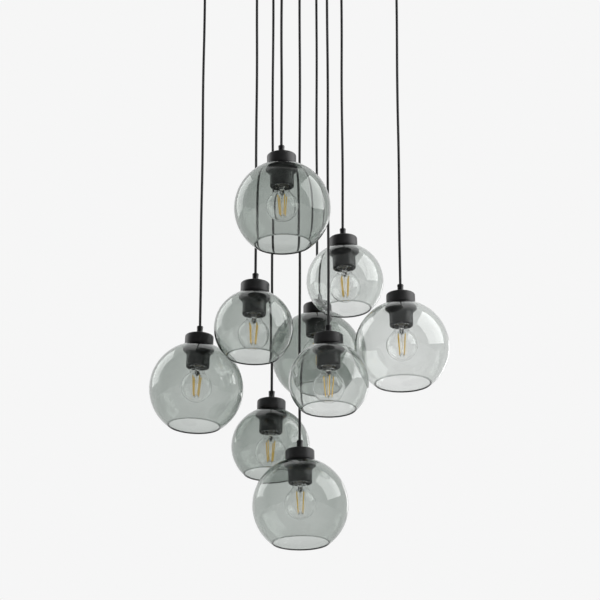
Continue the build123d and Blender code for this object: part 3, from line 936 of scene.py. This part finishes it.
class TurnCaps(bpy.types.Operator):
    """Turn the caps and the cord grips that stand on them"""

    bl_idname = "pendant.turn_caps"
    bl_label = "Turn the caps"

    def execute(self, context):
        sizes, colours = context.scene.pendant_sizes, context.scene.pendant_colours
        coat, plastic = powder_coat(colours), moulded_plastic(colours)
        cap, grip = cap_mesh(sizes), grip_mesh(sizes)
        for number in PENDANTS:
            body, place = f"pendant_{number}", hung(number)
            piece(f"cap_{number}_cup", cap, coat, body, place, [f"cap_{number}"])
            piece(
                f"cap_{number}_grip", grip, plastic, body, place, [f"cord_grip_{number}"]
            )
        return {"FINISHED"}


class BlowGlobes(bpy.types.Operator):
    """Blow the smoked glass globes"""

    bl_idname = "pendant.blow_globes"
    bl_label = "Blow the globes"

    def execute(self, context):
        sizes, colours = context.scene.pendant_sizes, context.scene.pendant_colours
        for number in PENDANTS:
            globe = globe_mesh(number, sizes)
            foot = min(vertex.co.z for vertex in globe.vertices)
            piece(
                f"globe_{number}_glass", globe, smoked_glass(colours, number, foot),
                f"pendant_{number}", hung(number), [f"glass_shade_{number}"],
            )
        return {"FINISHED"}


class FitLampholders(bpy.types.Operator):
    """Fit the lampholders and the shade rings that hold the glass"""

    bl_idname = "pendant.fit_lampholders"
    bl_label = "Fit the lampholders"

    def execute(self, context):
        sizes, colours = context.scene.pendant_sizes, context.scene.pendant_colours
        plastic = moulded_plastic(colours)
        brass = metal("lampholder_brass", colours.brass)
        plate = plain_moulding("contact_plate_plastic", shade(colours.porcelain, 0.5))
        barrel, shell, insert = barrel_mesh(sizes), screw_shell_mesh(sizes), insert_mesh()
        nipple, contact = nipple_mesh(sizes), centre_contact_mesh()
        rings = {}
        for number in PENDANTS:
            body, place, glass = f"pendant_{number}", hung(number), f"glass_shade_{number}"
            size = round(node_radius(glass), 4)
            if size not in rings:
                rings[size] = shade_ring_mesh(glass, sizes)
            replaced = [f"lampholder_{number}"]
            piece(f"lampholder_{number}_barrel", barrel, plastic, body, place, replaced)
            piece(f"lampholder_{number}_ring", rings[size], plastic, body, place, replaced)
            piece(f"lampholder_{number}_shell", shell, brass, body, place, replaced)
            piece(f"lampholder_{number}_plate", insert, plate, body, place, replaced)
            piece(f"lampholder_{number}_nipple", nipple, brass, body, place, replaced)
            piece(f"lampholder_{number}_contact", contact, brass, body, place, replaced)
        return {"FINISHED"}


class MakeBulbs(bpy.types.Operator):
    """Make the filament bulbs and screw them in"""

    bl_idname = "pendant.make_bulbs"
    bl_label = "Make the bulbs"

    def execute(self, context):
        sizes, colours = context.scene.pendant_sizes, context.scene.pendant_colours
        glass = bulb_glass()
        brass = metal("bulb_base_plate", colours.brass)
        wire = metal("bulb_wire", shade(colours.zinc, 0.55), roughness=0.35)
        vitrite = plain_moulding("bulb_insulator_glass", shade(colours.moulding, 1.2))
        made = (
            ("envelope", envelope_mesh(sizes), glass, "clear_glass"),
            ("stem", stem_mesh(sizes), glass, "clear_glass"),
            ("base", bulb_base_mesh(sizes), brass, "zinc_steel"),
            ("insulator", bulb_insulator_mesh(sizes), vitrite, "black_plastic"),
            ("contact", bulb_contact_mesh(sizes), brass, "zinc_steel"),
            ("strips", strips_mesh(sizes), strip_coating(colours), "clear_glass"),
            ("wires", bulb_wires_mesh(sizes), wire, "zinc_steel"),
        )
        for number in PENDANTS:
            place = hung(number, BULB_TURN[number])
            for part, data, material, slot in made:
                piece(
                    f"bulb_{number}_{part}", data, material, f"bulb_unit_{number}", place,
                    [f"bulb_{number}"],
                )
        return {"FINISHED"}


class FinishCanopy(bpy.types.Operator):
    """Give the canopy, its bracket and what is inside it their finishes"""

    bl_idname = "pendant.finish_canopy"
    bl_label = "Finish the canopy"

    def execute(self, context):
        colours = context.scene.pendant_colours
        zinc = metal("zinc_plate", colours.zinc, grain=1.5 * MM, roughness=0.34)
        for node, material in (
            ("canopy_cover", powder_coat(colours)),
            ("canopy_cord_grips", moulded_plastic(colours)),
            ("ceiling_bracket", zinc),
            ("canopy_screws", zinc),
            ("terminal_block", plain_moulding("terminal_plastic", colours.porcelain)),
            ("cord_tails", cord_sheath(colours)),
        ):
            dress(node, material)
        return {"FINISHED"}


def softbox(name, direction, distance, size, brightness, middle, roll=0.0):
    """A large soft lamp, this far from the cluster's middle and facing it, out of the camera's sight."""
    lamp = bpy.data.lights.new(name, "AREA")
    lamp.shape = "RECTANGLE"
    lamp.size, lamp.size_y = size
    lamp.energy = brightness * math.pi * size[0] * size[1]
    way = Vector(direction).normalized()
    stand = bpy.data.objects.new(name, lamp)
    bpy.context.scene.collection.objects.link(stand)
    stand.location = middle + way * distance
    stand.rotation_euler = (
        way.to_track_quat("Z", "Y") @ Quaternion((0, 0, 1), math.radians(roll))
    ).to_euler()
    stand.visible_camera = False
    return stand


def light_surroundings(world, studio):
    """A white room: even fill light, and a darker side in front that shapes the reflections."""
    world.use_nodes = True
    nodes = Nodes(world.node_tree)
    direction = nodes.node("ShaderNodeTexCoord", output="Generated")
    depth = nodes.node("ShaderNodeSeparateXYZ", inputs={"Vector": direction}, output="Y")
    mirrored = studio.front_shade + nodes.between(-0.1, 0.2, depth) * (
        studio.background - studio.front_shade
    )
    bent = studio.side_shade + nodes.between(0.3, 0.75, depth) * (studio.background - studio.side_shade)
    camera = nodes.node("ShaderNodeLightPath", output="Is Camera Ray")
    through = nodes.node("ShaderNodeLightPath", output="Is Transmission Ray")
    glossy = nodes.node("ShaderNodeLightPath", output="Is Glossy Ray")
    unseen = glossy * mirrored + (1 - glossy) * studio.fill
    beyond = through * bent + (1 - through) * unseen
    shell = nodes.node("ShaderNodeBackground", inputs={
        "Color": (1, 1, 1, 1), "Strength": camera * studio.background + (1 - camera) * beyond,
    })
    nodes.node("ShaderNodeOutputWorld", inputs={"Surface": shell})


def pale_floor(studio):
    """A plain pale floor under the cluster, which glows faintly as if lamps lit it from below."""
    half = 15.0
    mesh = bpy.data.meshes.new("floor")
    corners = [(-half, -half, 0), (half, -half, 0), (half, half, 0), (-half, half, 0)]
    mesh.from_pydata(corners, [], [(0, 1, 2, 3)])
    paint = Finish("pale_floor")
    patches = paint.cloud(0.8)
    mesh.materials.append(paint.done({
        "Base Color": paint.mixed(patches, (0.84, 0.84, 0.83, 1), (0.88, 0.88, 0.87, 1)),
        "Roughness": 0.7 + patches * 0.1,
        "Emission Color": (1, 1, 1, 1),
        "Emission Strength": 0.35,
    }))
    floor = bpy.data.objects.new("floor", mesh)
    bpy.context.scene.collection.objects.link(floor)
    floor.location.z = studio.floor_drop


class SetStage(bpy.types.Operator):
    """Set the camera, the lamps, the white room and the floor"""

    bl_idname = "pendant.set_stage"
    bl_label = "Set the stage"

    def execute(self, context):
        scene, studio = context.scene, context.scene.pendant_studio
        camera = bpy.data.objects.new("camera", bpy.data.cameras.new("camera"))
        scene.collection.objects.link(camera)
        camera.data.lens = studio.lens
        camera.location = (0.0005, -studio.distance, studio.eye_height)
        camera.rotation_euler = (math.pi / 2 + studio.tilt, 0, 0)
        scene.camera = camera
        middle = Vector((0, 0, (cad_box[0][2] + cad_box[1][2]) / 2 - 0.15))
        softbox("window_right", (0.86, -0.12, 0.46), 2.2, (2.2, 2.1), 3.0, middle, 20)
        softbox("window_left", (-0.78, 0.38, 0.49), 2.2, (1.2, 1.7), 1.7, middle)
        lamp_behind = softbox("window_behind", (0.48, 0.86, 0.14), 2.2, (0.5, 0.7), 1.5, middle)
        lamp_behind.visible_transmission = False
        scene.world = scene.world or bpy.data.worlds.new("room")
        light_surroundings(scene.world, studio)
        pale_floor(studio)
        # Two globes and a bulb, one behind another, are twelve faces of glass deep.
        scene.cycles.max_bounces = 32
        scene.cycles.transmission_bounces = 32
        scene.view_settings.view_transform = "Standard"
        return {"FINISHED"}


class PendantPanel(bpy.types.Panel):
    """Lists the cluster pendant's steps, in the order that they are run"""

    bl_idname = "PENDANT_PT_steps"
    bl_label = "Cluster pendant"
    bl_space_type = "VIEW_3D"
    bl_region_type = "UI"
    bl_category = "Pendant"

    def draw(self, context):
        for step in STEPS:
            self.layout.operator(step.bl_idname)


STEPS = (HangCords, TurnCaps, BlowGlobes, FitLampholders, MakeBulbs, FinishCanopy, SetStage)
CLASSES = (PendantSizes, PendantColours, StudioSettings, *STEPS, PendantPanel)


def register():
    for kind in CLASSES:
        bpy.utils.register_class(kind)
    bpy.types.Scene.pendant_sizes = PointerProperty(type=PendantSizes)
    bpy.types.Scene.pendant_colours = PointerProperty(type=PendantColours)
    bpy.types.Scene.pendant_studio = PointerProperty(type=StudioSettings)


def unregister():
    del bpy.types.Scene.pendant_studio
    del bpy.types.Scene.pendant_colours
    del bpy.types.Scene.pendant_sizes
    for kind in reversed(CLASSES):
        bpy.utils.unregister_class(kind)


def main():
    register()
    for step in STEPS:
        group, action = step.bl_idname.split(".")
        getattr(getattr(bpy.ops, group), action)()


if __name__ == "__main__":
    main()
